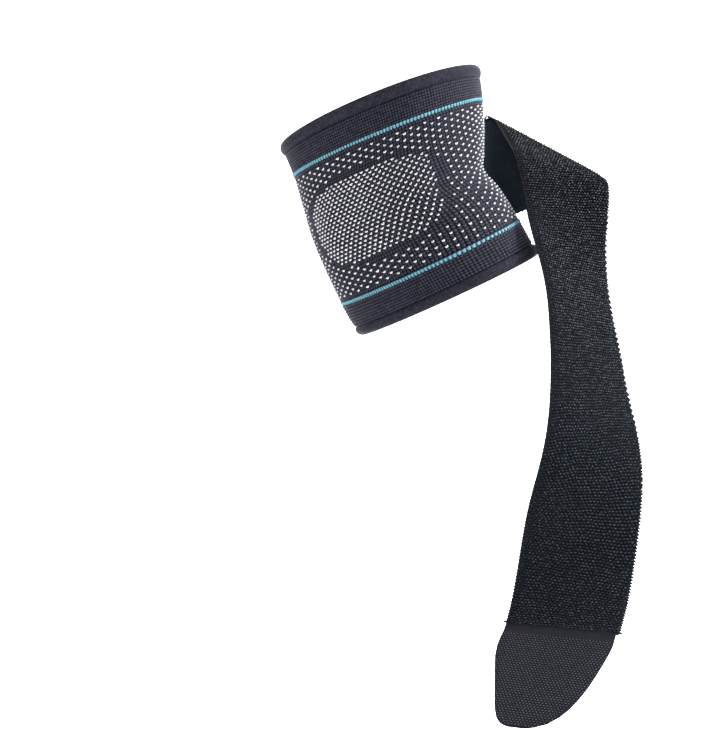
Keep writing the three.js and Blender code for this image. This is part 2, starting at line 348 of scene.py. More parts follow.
def hem_and_cuff(down):
    """Half an ellipse for the rolled hem and its groove, then raised cosines for the cuff's ribs."""
    from_rim = np.minimum(down, SLEEVE_LENGTH - down)
    across = np.clip(2 * from_rim / HEM_TALL - 1, -1, 1)
    roll = (HEM_OUT + GROOVE) * np.sqrt(1 - across**2) - GROOVE
    hem = np.where(from_rim < HEM_TALL, roll, -GROOVE * (1 - smooth_step(HEM_TALL, RIB_TOP, from_rim)))
    phase = rib_phase(down)
    in_cuff = smooth_step(-0.1, 0.1, phase) * (1 - smooth_step(RIBS - 0.1, RIBS + 0.1, phase))
    return hem + in_cuff * RIB_SWELL * (1 - np.cos(2 * np.pi * phase))


def field_stitches(turn, down):
    """A low swell for each stitch: cosine across the wale times cosine along the course."""
    wale, course = wale_of(turn, down), course_of(down)
    inside = smooth_step(-0.2, 0.2, course) * (1 - smooth_step(COURSES - 0.2, COURSES + 0.2, course))
    across, along = np.cos(2 * np.pi * wale), np.cos(2 * np.pi * (course - 0.5))
    return inside * (WALE_SWELL * across + COURSE_SWELL * along)


def cloth_ease(turn, down):
    """Slow waves under half a millimetre, so that the tube isn't machine-true."""
    a = np.radians(turn)
    return sum(high * np.sin(waves * a + tall * down + start) for high, waves, tall, start in EASE_WAVES)


def knit_relief(turn, down):
    """All of the sleeve's outer relief together, in millimetres over the sections' ovals."""
    pad = PAD_RISE * (1 - smooth_step(PAD_FULL, PAD_GONE, pad_reach(turn, down, *OVAL)))
    ease = cloth_ease(turn, down) * smooth_step(0, EASE_FROM_RIM, np.minimum(down, SLEEVE_LENGTH - down))
    return hem_and_cuff(down) + field_stitches(turn, down) + pad + ease


# %% Sleeve mesh
hem_rows = HEM_TALL / 2 * (1 - np.cos(np.linspace(0, np.pi, HEM_ROWS)))
rib_steps = np.arange(0, PER_STITCH * RIBS + 1) / PER_STITCH
top_rows = np.concatenate([hem_rows, RIB_TOP + RIB_PITCH * rib_steps, STRIPE_DOWN[:1]])
field_rows = down_of(np.arange(0, PER_STITCH * COURSES + 1) / PER_STITCH)
low_ribs = SLEEVE_LENGTH - RIB_TOP - RIB_PITCH_LOW * rib_steps[::-1]
low_rows = np.concatenate([STRIPE_DOWN[1:], low_ribs, SLEEVE_LENGTH - hem_rows[::-1]])
outer_rows = np.concatenate([top_rows, field_rows, low_rows])
inner_rows = np.linspace(SLEEVE_LENGTH - INNER_FROM_RIM, INNER_FROM_RIM, INNER_ROWS)
wale_steps = np.arange(PER_STITCH * WALES) / PER_STITCH
turns = np.interp(wale_steps, FINE_WALE - even_wale(0.0), FINE_TURN)

outer_down, outer_turn = np.meshgrid(outer_rows, turns, indexing="ij")
inner_down, inner_turn = np.meshgrid(inner_rows, turns, indexing="ij")
outer = sleeve_point(outer_turn, outer_down, knit_relief(outer_turn, outer_down))
inner = sleeve_point(inner_turn, inner_down, -KNIT_WALL + cloth_ease(inner_turn, inner_down))
skin = np.concatenate([outer, inner])
row_down = np.concatenate([outer_rows, inner_rows])
faces, corner_i, corner_j = grid_faces(len(skin), len(turns), wrap_rows=True, wrap_columns=True)
corner_down = row_down[corner_i % len(row_down)]
corner_turn = turns[corner_j % len(turns)] + 360 * (corner_j // len(turns))
stitch_uv = np.pi * np.stack([wale_of(corner_turn, corner_down), course_of(corner_down)], -1)
from_rim = np.minimum(row_down, SLEEVE_LENGTH - row_down)
hem_share = 1 - smooth_step(HEM_TALL - 0.1, HEM_TALL + 0.3, from_rim)
between = (row_down > STRIPE_DOWN[0] - STRIPE_TALL / 2) & (row_down < STRIPE_DOWN[1] + STRIPE_TALL / 2)
cuff_share = np.where(between, 0.0, 1.0) * (1 - hem_share)
ridge = 0.5 * (1 - np.cos(2 * np.pi * np.clip(rib_phase(row_down), 0, RIBS)))
knit_shares = {"hem": hem_share, "cuff": cuff_share, "ridge": ridge}
print("sleeve rows:", len(outer_rows), "outside,", len(inner_rows), "inside")

# %% [markdown]
# ## Knitted yarn
# The yarn is a textured nylon over an elastic core, a soft purplish charcoal. Its fine filaments give
# a pale bloom at glancing angles, which the shader's sheen stands for. The stitches are drawn on the
# piece's own UV map, where pi is one wale across and one course down, so that a sine rises once to each
# stitch and the pattern follows the cloth. A knitted stitch is a V, so the course coordinate is bent by
# the distance from the wale's middle before its sine is taken.

# %% Knit material
knit, tree, shader = new_material(
    "knitted_nylon_yarn",
    Roughness=0.9,
    Sheen_Weight=0.24,
    Sheen_Roughness=0.25,
    Sheen_Tint=linear("#cfcbe0"),
    Specular_IOR_Level=0.05,
)
uv = add_node(tree, "ShaderNodeUVMap", uv_map="stitches")
wale_at, course_at, _ = add_node(tree, "ShaderNodeSeparateXYZ", [uv]).node.outputs
hem_at, cuff_at, ridge_at = (
    add_node(tree, "ShaderNodeAttribute", out="Fac", attribute_name=name) for name in knit_shares
)
from_middle = add_node(tree, MATH, [wale_at, np.pi / 2], operation="PINGPONG")
bent = add_node(tree, MATH, [from_middle, 1.1, course_at], operation="MULTIPLY_ADD")
wave = add_node(tree, MATH, [bent], operation="SINE")
leg = add_node(tree, MATH, [wave], operation="ABSOLUTE")
crown = add_node(tree, MATH, [from_middle], operation="COSINE")
stitch = add_node(tree, MATH, [leg, crown], operation="MULTIPLY")

# %% Cuff and hem of the knit
# The cuff is knitted finer, five columns to four wales, and its ribs make a grid with them.
finer = add_node(tree, MATH, [wale_at, 1.25], operation="MULTIPLY")
wave = add_node(tree, MATH, [finer], operation="SINE")
column = add_node(tree, MATH, [wave], operation="ABSOLUTE")
upright = add_node(tree, MATH, [column, 0.8, 0.2], operation="MULTIPLY_ADD")
level = add_node(tree, MATH, [ridge_at, 0.85, 0.15], operation="MULTIPLY_ADD")
grid = add_node(tree, MATH, [upright, level], operation="MULTIPLY")
# The hem is the finest of all, a close upright hatch.
finest = add_node(tree, MATH, [wale_at, 2.2], operation="MULTIPLY")
wave = add_node(tree, MATH, [finest], operation="SINE")
hatch = add_node(tree, MATH, [wave], operation="ABSOLUTE")
roll = add_node(tree, MATH, [hatch, 0.26, 0.26], operation="MULTIPLY_ADD")
height = add_node(tree, MIX, {"Factor": cuff_at, 2: stitch, 3: grid})
height = add_node(tree, MIX, {"Factor": hem_at, 2: height, 3: roll})
at = add_node(tree, "ShaderNodeTexCoord", out="Object")
# Single filaments are far too fine to show, so the yarn's fuzz is drawn at about half a millimetre.
fuzz = add_node(tree, "ShaderNodeTexNoise", {"Vector": at, "Scale": 1800.0, "Detail": 3.0})
shade = add_node(tree, MIX, {"Factor": 0.3, 2: height, 3: fuzz})
# No two stitches take the same tension, so their tone wanders a little from one to the next.
uneven = add_node(tree, "ShaderNodeTexNoise", {"Vector": at, "Scale": 650.0, "Detail": 1.0})
uneven = add_node(tree, MATH, [uneven, 0.8, 0.6], operation="MULTIPLY_ADD")
shade = add_node(tree, MATH, [shade, uneven], operation="MULTIPLY")
# The same relief sets the colour: the gaps between stitches, columns and ribs get painted shade, and their
# crowns painted light.
light = add_node(tree, "ShaderNodeMapRange", [shade, 0.24, 0.80])
colour = add_node(
    tree, MIX, {"Factor": light, 6: linear("#040406"), 7: linear("#2e2f3a")}, 2, data_type="RGBA"
)
tree.links.new(colour, shader.inputs["Base Color"])
bump = add_node(tree, "ShaderNodeBump", {"Strength": 0.6, "Distance": 0.0004, "Height": shade})
tree.links.new(bump, shader.inputs["Normal"])

on_points = {name: np.repeat(share, len(turns)) for name, share in knit_shares.items()}
sleeve = add_piece("sleeve_knit", skin.reshape(-1, 3), faces, knit, stitch_uv, on_points)
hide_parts("sleeve")

# %% [markdown]
# ## White dot stitches
# The pale dots are single stitches of white yarn that the needles bring to the front. In the oval every
# other stitch is white, like a chessboard; outside it only every other wale has them, and a plain dark
# band runs between. Each dot is a small V of two plump legs, made once and copied by one array sum.

# %% White yarn
white_yarn, tree, shader = new_material("white_polyester_yarn", Roughness=0.8, Specular_IOR_Level=0.2)
at = add_node(tree, "ShaderNodeTexCoord", out="Object")
# The yarn's plies are drawn as a mottle of about half a millimetre, the finest that shows.
mottle = add_node(tree, "ShaderNodeTexNoise", {"Vector": at, "Scale": 2000.0, "Detail": 2.0})
colour = add_node(
    tree, MIX, {"Factor": mottle, 6: linear("#8d8d91"), 7: linear("#c8c8c7")}, 2, data_type="RGBA"
)
tree.links.new(colour, shader.inputs["Base Color"])
bump = add_node(tree, "ShaderNodeBump", {"Strength": 0.3, "Distance": 0.0002, "Height": mottle})
tree.links.new(bump, shader.inputs["Normal"])


# %% Dot stitches
def tilted(frames, tilt):
    """Frames turned about their outward direction: right and up mixed by the tilt's cosine and sine."""
    c, s = np.cos(tilt)[:, None], np.sin(tilt)[:, None]
    right, up, out = np.moveaxis(frames, 1, 0)
    return np.stack([c * right + s * up, c * up - s * right, out], 1)


# The right leg from foot to head: across, up and radius
LEG = np.array([
    (0.08, -0.52, 0.16),
    (0.18, -0.25, 0.29),
    (0.34, 0.02, 0.34),
    (0.44, 0.28, 0.31),
    (0.46, 0.48, 0.17),
])
LEG_SIDES = 5
# The left leg mirrors it, shorter and lower, and the whole dot is squashed a little along the wale.
LEFT_SCALE, LEFT_SHIFT = [-1.0, 0.86, 1.0], [0.0, -0.07, -0.02]
DOT_SCALE = [1.02, 0.84, 0.95]
DOT_SIZE_SPREAD, DOT_TILT_SPREAD = 0.07, 0.16
leg_path = np.column_stack([LEG[:, :2], np.zeros(len(LEG))])
right_leg, leg_faces = tube(leg_path, LEG[:, 2], LEG_SIDES)
left_leg, left_faces = tube(leg_path * LEFT_SCALE + LEFT_SHIFT, LEG[:, 2], LEG_SIDES)
dot_points = np.concatenate([right_leg, left_leg]) * DOT_SCALE
dot_faces = np.concatenate([leg_faces, left_faces + len(right_leg)])

wale, course = np.meshgrid(np.arange(WALES), np.arange(1, COURSES - 1), indexing="ij")
dot_down = down_of(course + 0.5)
dot_turn = turn_of(wale + 0.0, dot_down)
in_oval = (pad_reach(dot_turn, dot_down, *OVAL) < 1) & ((wale + course) % 2 == 0)
past_band = pad_reach(dot_turn, dot_down, *BAND) > 1
in_field = past_band & (wale % 2 == 0) & ((course + wale // 2) % 2 == 0)
chosen = in_oval | in_field
dot_turn, dot_down = dot_turn[chosen], dot_down[chosen]
places, frames = sleeve_frames(dot_turn, dot_down, knit_relief(dot_turn, dot_down))
size = rng.normal(1.0, DOT_SIZE_SPREAD, len(places))
turned = tilted(frames, rng.normal(0.0, DOT_TILT_SPREAD, len(places)))
points, faces = copies(dot_points, dot_faces, places, turned * size[:, None, None])
dots = add_piece("dot_stitches", points, faces, white_yarn)

# %% [markdown]
# ## Turquoise stripes
# Each stripe is one row of tall coloured stitches between the dotted field and the cuff. A stitch is a
# plump bar, broad at the top, that leans a little and touches its neighbours. Light hardly gets down
# between two bars, so an attribute runs from 0 on a bar's sides to 1 on its crown and darkens the gap.

# %% Turquoise yarn
stripe_yarn, tree, shader = new_material("turquoise_nylon_yarn", Roughness=0.7, Specular_IOR_Level=0.2)
crown_at = add_node(tree, "ShaderNodeAttribute", out="Fac", attribute_name="crown")
at = add_node(tree, "ShaderNodeTexCoord", out="Object")
mottle = add_node(tree, "ShaderNodeTexNoise", {"Vector": at, "Scale": 2000.0, "Detail": 2.0})
lit = add_node(tree, MATH, [crown_at, mottle], operation="MULTIPLY")
light = add_node(tree, "ShaderNodeMapRange", [lit, 0.0, 0.6])
colour = add_node(
    tree, MIX, {"Factor": light, 6: linear("#10262d"), 7: linear("#4d7f8d")}, 2, data_type="RGBA"
)
tree.links.new(colour, shader.inputs["Base Color"])

# %% Stripe stitches
# A bar from foot to head: up and radius, where the stitches are BAR_PITCH apart
BAR = np.array([(-0.86, 0.14), (-0.54, 0.36), (0.0, 0.51), (0.56, 0.55), (0.82, 0.34)])
BAR_PITCH, BAR_SIDES, BAR_FLAT, BAR_OUT = 1.14, 8, 0.9, 0.05
CROWN_GAIN = 1.3
# Odd and even bars lean by these angles in radians, and a little at random.
ODD_LEAN, EVEN_LEAN, BAR_LEAN_SPREAD = 0.24, 0.12, 0.06
bar_points, bar_faces = tube(straight_path(BAR[:, 0], 1), BAR[:, 1], BAR_SIDES, flat=BAR_FLAT)
side_height = np.sin(2 * np.pi * np.arange(BAR_SIDES) / BAR_SIDES)
bar_crown = np.tile(np.clip(CROWN_GAIN * side_height, 0, 1), len(BAR))
stitch_wale = np.tile(np.arange(WALES) + 0.5, 2)
stitch_down = np.repeat(STRIPE_DOWN, WALES)
stitch_turn = turn_of(stitch_wale, stitch_down)
places, frames = sleeve_frames(stitch_turn, stitch_down, BAR_OUT)
beside = sleeve_point(turn_of(stitch_wale + 1, stitch_down), stitch_down, BAR_OUT)
pitch = np.linalg.norm(beside - places, axis=1)
lean = np.where(np.arange(2 * WALES) % 2, ODD_LEAN, EVEN_LEAN)
lean = lean + rng.normal(0, BAR_LEAN_SPREAD, 2 * WALES)
turned = tilted(frames, lean)
turned[:, 0] *= (pitch / BAR_PITCH)[:, None]
points, faces = copies(bar_points, bar_faces, places, turned)
crowns = np.tile(bar_crown, len(places))
stripes = add_piece("stripe_stitches", points, faces, stripe_yarn, attributes={"crown": crowns})

# %% [markdown]
# ## The strap's path
# The strap is flat elastic webbing. It lies on the sleeve's back where it is sewn, leaves it, rolls
# over on a slanted fold and then hangs with a slow bend and twist. A point is found in three steps:
# lay the ribbon out as if the fold were open, roll it over the fold line, and set it in place.

# %% Strap surface
STRAP_WIDTH, STRAP_LENGTH, STRAP_SEWN = 50.0, 316.0, 30.0
STRAP_THICK = 2.0
ROOT = np.array([9.0, 45.0, 7.5])
ROOT_RISE, ROOT_FORWARD, ROOT_TOP_BACK = np.radians(21.0), -0.24, 0.08
SEAT_TURN, SEAT_DOWN, SEAT_ALONG = 75.0, 41.0, -5.0
PEEL_FROM, PEEL_TO = -4.0, 36.0
SEWN_GAP = 0.3
FOLD_ALONG, FOLD_SLANT, FOLD_RADIUS, FOLD_TURN = 57.5, np.radians(50.0), 4.5, np.radians(116.0)
# Along the strap, then bend and twist in degrees per 100 mm
HANG_ALONG = np.array([80.0, 100, 120, 145, 170, 190, 205, 220, 235, 255, 280, 300, 320])
HANG_BEND = np.array([-260.0, -50, 55, 0, -20, -10, 5, -60, -100, -30, 135, 125, 0])
HANG_TWIST = np.array([-15.0, 55, 40, 20, -15, -15, -35, -50, -60, -80, -55, -50, 0])
# Length of a step, and how far the ribbon runs on past the strap's end for the tab
RIBBON_STEP, RIBBON_SPARE = 4.0, 60.0


def ribbon_stations(reach):
    """Middle line and across direction every step: turn the heading by twist about it and by bend."""
    along = np.arange(0.0, reach + RIBBON_STEP, RIBBON_STEP)
    middle = along - RIBBON_STEP / 2
    free = (middle >= HANG_ALONG[0]) * RIBBON_STEP / 100
    twist = np.radians(np.interp(middle, HANG_ALONG, HANG_TWIST)) * free
    bend = np.radians(np.interp(middle, HANG_ALONG, HANG_BEND)) * free
    heading, place = np.eye(3), np.zeros(3)
    places, across = [place], [heading[:, 1]]
    for a, b in zip(twist[1:], bend[1:]):
        angle = np.hypot(a, b)
        axis = np.array([a, -b, 0.0]) / max(angle, 1e-12)
        cross = np.array([[0, 0, axis[1]], [0, 0, -axis[0]], [-axis[1], axis[0], 0]])
        step = np.eye(3) + np.sin(angle) * cross + (1 - np.cos(angle)) * cross @ cross
        turned = heading @ step
        place = place + (heading[:, 0] + turned[:, 0]) * RIBBON_STEP / 2
        heading = turned
        places.append(place)
        across.append(heading[:, 1])
    return along, np.array(places), np.array(across)


RIBBON_ALONG, RIBBON_PLACE, RIBBON_ACROSS = ribbon_stations(STRAP_LENGTH + RIBBON_SPARE)


def strap_point(along, across):
    """The strap's middle surface: ribbon, then roll past the slanted line, then the root's own axes."""
    along, across = np.broadcast_arrays(np.asarray(along, float), np.asarray(across, float))
    place = np.stack([np.interp(along, RIBBON_ALONG, RIBBON_PLACE[:, k]) for k in range(3)], -1)
    place[..., 0] += np.minimum(along, 0)
    place += across[..., None] * np.stack(
        [np.interp(along, RIBBON_ALONG, RIBBON_ACROSS[:, k]) for k in range(3)], -1
    )
    line = np.array([np.cos(FOLD_SLANT), -np.sin(FOLD_SLANT)])
    over = np.array([np.sin(FOLD_SLANT), np.cos(FOLD_SLANT)])
    flat = place[..., :2] - np.array([FOLD_ALONG, 0.0])
    t, d = flat @ line, flat @ over
    angle = np.clip(d / FOLD_RADIUS, 0, FOLD_TURN)
    past = np.where(d > 0, d - angle * FOLD_RADIUS, d)
    lift = FOLD_RADIUS + place[..., 2]
    reach = lift * np.sin(angle) + past * np.cos(angle)
    rolled_x = FOLD_ALONG + t * line[0] + reach * over[0]
    rolled_y = t * line[1] + reach * over[1]
    rolled_z = lift * np.cos(angle) - past * np.sin(angle) - FOLD_RADIUS
    e_along = unit(np.array([np.cos(ROOT_RISE), ROOT_FORWARD, np.sin(ROOT_RISE)]))
    e_up = np.array([-np.sin(ROOT_RISE), ROOT_TOP_BACK, np.cos(ROOT_RISE)])
    e_up = unit(e_up - e_along * (e_up @ e_along))
    e_out = np.cross(e_up, e_along)
    free = ROOT + rolled_x[..., None] * e_along + rolled_y[..., None] * e_up + rolled_z[..., None] * e_out
    _, _, _, wide, deep, _, _ = through_rows(SECTION_DOWN, SECTION_ROWS, np.array(SEAT_DOWN))
    turn = SEAT_TURN - np.degrees((along - SEAT_ALONG) / ((wide + deep) / 2))
    seated = sleeve_point(turn, SEAT_DOWN - across, SEWN_GAP + STRAP_THICK / 2)
    peel = smooth_step(PEEL_FROM, PEEL_TO, along)[..., None]
    return seated + peel * (free - seated)


STRAP_STEP = 0.4


def strap_frames(along, across):
    """Place and the across, along and outward directions of the strap, by small differences."""
    h = STRAP_STEP
    lengthways = unit(strap_point(along + h, across) - strap_point(along - h, across))
    crossways = unit(strap_point(along, across + h) - strap_point(along, across - h))
    outward = unit(np.cross(crossways, lengthways))
    return strap_point(along, across), np.stack([crossways, lengthways, outward], -2)


print("strap end:", strap_point(STRAP_LENGTH, 0.0).round(1))

# %% [markdown]
# ## Elastic webbing
# Under the loops is a close woven elastic band. Its back is smooth and a dark blue grey, with fine upright
# ribs, and its two edges are firm selvedges a little thicker than the rest. The mesh is a closed
# profile, a flat band with rounded edges, carried along the path above.

# %% Webbing mesh
BASE_THICK, ROW_STEP = 1.3, 0.55
# The band lies a little under the strap's middle surface, which leaves room for the loops.
BASE_UNDER = 0.25
HALF_WIDTH = STRAP_WIDTH / 2
# Half width of the flat face, where its edge is rounded off, and where the selvedge starts
FLAT_TO, ROUND_AT, SELVEDGE_FROM = 24.0, 24.6, 22.5
# Thickness there as shares of the base, and half the thickness of the outermost edge
ROUND_SHARE, SELVEDGE_SHARE, EDGE_HALF = 0.8, 1.25, 0.35
FLAT_COLUMNS = 25
WARP_PITCH, WEFT_PITCH, WEFT_SWELL = 0.9, 1.1, 0.08
# Levels over which painted light flattens the pile low on the strap: lighter loop feet, duller loop tops
LOW_LIGHT_FROM, LOW_LIGHT_TO = 150.0, 260.0


def low_strap_painted_light(level):
    """0 high on the strap and 1 low down: how far painted light flattens the pile there, with lighter loop
    feet and duller loop tops.
    """
    return smooth_step(LOW_LIGHT_FROM, LOW_LIGHT_TO, level)


rows = np.arange(-STRAP_SEWN, STRAP_LENGTH + ROW_STEP / 2, ROW_STEP)
flat = np.concatenate([[ROUND_AT], np.linspace(FLAT_TO, -FLAT_TO, FLAT_COLUMNS), [-ROUND_AT]])
edge = np.array([[HALF_WIDTH, EDGE_HALF], [HALF_WIDTH, -EDGE_HALF]])
thicker = np.where(np.abs(flat) > SELVEDGE_FROM, SELVEDGE_SHARE, 1.0)
half = BASE_THICK / 2 * np.where(np.abs(flat) > FLAT_TO, ROUND_SHARE, thicker)
profile = np.concatenate([
    np.stack([flat, half], 1),
    edge[:1] * [-1, 1],
    edge[1:] * [-1, 1],
    np.stack([flat, -half], 1)[::-1],
    edge[1:],
    edge[:1],
])
row_along, row_across = np.meshgrid(rows, profile[:, 0], indexing="ij")
place, frames = strap_frames(row_along, row_across)
weft = WEFT_SWELL * np.cos(np.pi * row_along / WEFT_PITCH) * np.sign(profile[:, 1])
skin = place + (profile[:, 1] - BASE_UNDER + weft)[..., None] * frames[..., 2, :]
faces, corner_i, corner_j = grid_faces(len(rows), len(profile), wrap_columns=True)
steps = np.linalg.norm(np.diff(np.vstack([profile, profile[:1]]), axis=0), axis=1)
run = np.concatenate([[0], np.cumsum(steps)])
strap_uv = np.pi * np.stack([run[corner_j] / WARP_PITCH, rows[corner_i] / WEFT_PITCH], -1)
ends = np.arange(len(profile))
half_count = len(ends) // 2
front, behind = ends[:half_count], ends[::-1][:half_count]
cap = np.stack([front[:-1], front[1:], behind[1:], behind[:-1]], 1)
last = (len(rows) - 1) * len(profile)
faces = np.concatenate([faces, cap, (cap + last)[:, ::-1]])
strap_uv = np.concatenate([strap_uv, np.zeros((2 * len(cap), 4, 2))])

# %% Webbing material
# Woven nylon over rubber threads: matt, with fine ribs that show only on the bare inner face.
webbing, tree, shader = new_material("woven_elastic_webbing", Roughness=0.85, Specular_IOR_Level=0.03)
uv = add_node(tree, "ShaderNodeUVMap", uv_map="stitches")
waves = add_node(tree, "ShaderNodeVectorMath", [uv], operation="SINE")
waves = add_node(tree, "ShaderNodeVectorMath", [waves], operation="ABSOLUTE")
warp, pick, _ = add_node(tree, "ShaderNodeSeparateXYZ", [waves]).node.outputs
shown = add_node(tree, MATH, [pick, 0.5, 0.5], operation="MULTIPLY_ADD")
weave = add_node(tree, MATH, [warp, shown], operation="MULTIPLY")
inner = add_node(
    tree, MIX, {"Factor": weave, 6: linear("#282f38"), 7: linear("#38404a")}, 2, data_type="RGBA"
)
back_at = add_node(tree, "ShaderNodeAttribute", out="Fac", attribute_name="back")
# The outer face, seen only between the loops, is near black: painted shade among the loops.
colour = add_node(tree, MIX, {"Factor": back_at, 6: linear("#050608"), 7: inner}, 2, data_type="RGBA")
edge_at = add_node(tree, "ShaderNodeAttribute", out="Fac", attribute_name="selvedge")
colour = add_node(tree, MIX, {"Factor": edge_at, 6: colour, 7: linear("#15171c")}, 2, data_type="RGBA")
tree.links.new(colour, shader.inputs["Base Color"])
bump = add_node(tree, "ShaderNodeBump", {"Strength": 0.5, "Distance": 0.0003, "Height": weave})
tree.links.new(bump, shader.inputs["Normal"])
# Low on the strap a little of the inner face's tone goes into the outer face: painted light at the loops'
# feet.
FOOT_LIGHT = 0.10
on_points = {
    "back": np.where(profile[:, 1] < -EDGE_HALF, 1.0, FOOT_LIGHT * low_strap_painted_light(rows)[:, None]),
    "selvedge": np.tile((np.abs(profile[:, 0]) > FLAT_TO) * 1.0, len(rows)),
}
strap = add_piece("strap_webbing", skin.reshape(-1, 3), faces, webbing, strap_uv, on_points)
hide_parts("strap")

# %% [markdown]
# ## Loop pile
# The strap's outer face is a carpet of small nylon loops for the hook tab to grip. They stand in rows
# across the band, each row half a loop off the last. One arch, a thin tube bent over, is copied
# thousands of times; each copy leans down the strap and a little at random. On the roll of the fold the
# loops are pressed flatter, and along the rolled upper edge they stand out as a fringe.

# %% Loop yarn
# Brushed nylon: the roots sit in shade, and only the top of each arch catches light.
loop_yarn, tree, shader = new_material("brushed_nylon_loops", Roughness=0.6, Specular_IOR_Level=0.04)
tip_at = add_node(tree, "ShaderNodeAttribute", out="Fac", attribute_name="tip")
lit = add_node(tree, MATH, [tip_at, 1.5], operation="POWER")
colour = add_node(
    tree, MIX, {"Factor": lit, 6: linear("#080a0f"), 7: linear("#5d656f")}, 2, data_type="RGBA"
)
tree.links.new(colour, shader.inputs["Base Color"])

# %% Sewn root
SEAM_MIDDLE, SEAM_HALF_ALONG, SEAM_HALF_ACROSS = -17.0, 10.0, 20.0
SEAM_STITCH = 3.2


def off_seam(along, across):
    """Distance from the sewn rectangle's outline: the larger overshoot of its two half sizes."""
    past_end = np.abs(along - SEAM_MIDDLE) - SEAM_HALF_ALONG
    return np.abs(np.maximum(past_end, np.abs(across) - SEAM_HALF_ACROSS))


# %% Loop places
LOOP_ACROSS, LOOP_ROW, LOOP_COLUMNS = 1.65, 1.37, 31
# The first column's place, then how far the last row and any one loop keep from the strap's free end, and
# what is left bare at its root
LOOP_FIRST, LAST_ROW, LOOP_STOP, ROOT_BARE = -24.6, 0.6, 0.5, 0.8
ACROSS_SPREAD, ALONG_SPREAD = 0.08, 0.10
# Rows slant where the band is pulled: the slope, and the levels that it starts, is full, eases and ends at
ROW_SKEW, SKEW_LEVELS = 0.20, (50, 110, 235, 300)
# Two slow sines that the rows waver by: height, then radians per millimetre across and along
WAVERS = ((0.20, 0.26, 0.09), (0.12, 0.55, -0.05))
# Distance past the slanted fold line at which its roll starts, is full, eases and ends
ROLL_LEVELS = (-3, 2, 9, 16)
row_count = int((STRAP_LENGTH + STRAP_SEWN - ROOT_BARE) / LOOP_ROW)


def loop_places(parity):
    """Even pitches in rows and columns, odd rows half a loop off, then slant, waver and a random shift."""
    row, column = np.meshgrid(np.arange(parity, row_count, 2), np.arange(LOOP_COLUMNS), indexing="ij")
    row, column = row.ravel(), column.ravel()
    across = LOOP_FIRST + LOOP_ACROSS * (column + 0.5 * parity) + rng.normal(0, ACROSS_SPREAD, row.shape)
    level = STRAP_LENGTH - LAST_ROW - LOOP_ROW * row
    skew = ROW_SKEW * plateau(SKEW_LEVELS, level)
    waver = sum(high * np.sin(wide * across + tall * level) for high, wide, tall in WAVERS)
    along = np.minimum(level + skew * across + waver, STRAP_LENGTH - LOOP_STOP)
    return column, level, along + rng.normal(0, ALONG_SPREAD, row.shape), across


def fold_roll(along, across):
    """1 on the roll of the fold and 0 away from it, by the distance past the slanted fold line."""
    past = np.sin(FOLD_SLANT) * (along - FOLD_ALONG) + np.cos(FOLD_SLANT) * across
    return plateau(ROLL_LEVELS, past)


# %% Loop stance and light
# Means and random spreads of the lean down the strap, the lean sideways, the turn and the size
LOOP_LEAN, LOOP_LEAN_SPREAD = 0.20, 0.12
SIDE_SPREAD, FIRST_COLUMN_SIDE = 0.14, -0.5
LOOP_TILT, LOOP_TILT_SPREAD = 0.25, 0.2
LOOP_SIZE_SPREAD = 0.08
# How far the roll presses a loop down, and how far one of the fringe reaches, as shares of its height
FOLD_PRESS, FRINGE_REACH = 0.5, 2.0
# Least share of light on a loop's top, then what dulls it: the fold, the edge, the fringe, and painted
# shade low on the strap
SHINE_LEAST, FOLD_CONTRAST, EDGE_SHINE, FRINGE_SHINE, LOW_TOP_SHADE = 0.25, 1.5, 0.55, 0.15, 0.42
# The loops from this column on are at the upper edge.
EDGE_COLUMN = 29


def loop_stance(frames, column, rolled, fringe):
    """Right, up and out of each loop: leaned, turned and sized at random, and flatter on the roll."""
    crossways, lengthways, outward = np.moveaxis(frames, 1, 0)
    lean = LOOP_LEAN + rng.normal(0, LOOP_LEAN_SPREAD, column.shape)
    side = np.where(column == 0, FIRST_COLUMN_SIDE, rng.normal(0, SIDE_SPREAD, column.shape))
    stance = frames.copy()
    stance[:, 2] = unit(outward + lean[:, None] * lengthways + side[:, None] * crossways)
    stance = tilted(stance, rng.normal(LOOP_TILT, LOOP_TILT_SPREAD, column.shape))
    stance *= rng.normal(1.0, LOOP_SIZE_SPREAD, column.shape)[:, None, None]
    stance[:, 2] *= (1 - FOLD_PRESS * rolled)[:, None]
    stance[fringe] = np.stack([lengthways, outward, FRINGE_REACH * crossways], 1)[fringe]
    return stance


def loop_light(column, level, rolled, fringe):
    """Share of light on each loop's top: random, to a higher power on the roll, times what dulls it."""
    shine = rng.uniform(SHINE_LEAST, 1.0, column.shape) ** (1 + FOLD_CONTRAST * rolled)
    shine = shine * np.where(column > EDGE_COLUMN - 2, EDGE_SHINE, 1.0)
    return np.where(fringe, FRINGE_SHINE, shine * (1 - LOW_TOP_SHADE * low_strap_painted_light(level)))


# %% Loops
# An arch from foot to foot: across, out, radius and share of light
ARCH = np.array([
    (-0.46, -0.1, 0.16, 0.0),
    (-0.40, 0.42, 0.23, 0.12),
    (0.0, 0.74, 0.30, 1.0),
    (0.40, 0.42, 0.23, 0.12),
    (0.46, -0.1, 0.16, 0.0),
])
# The last number is painted light added to the whole of each loop low on the strap.
ARCH_SIDES, LOOP_LIFT, FRINGE_LIFT, LOW_FOOT_LIGHT = 4, 0.42, 0.1, 0.11
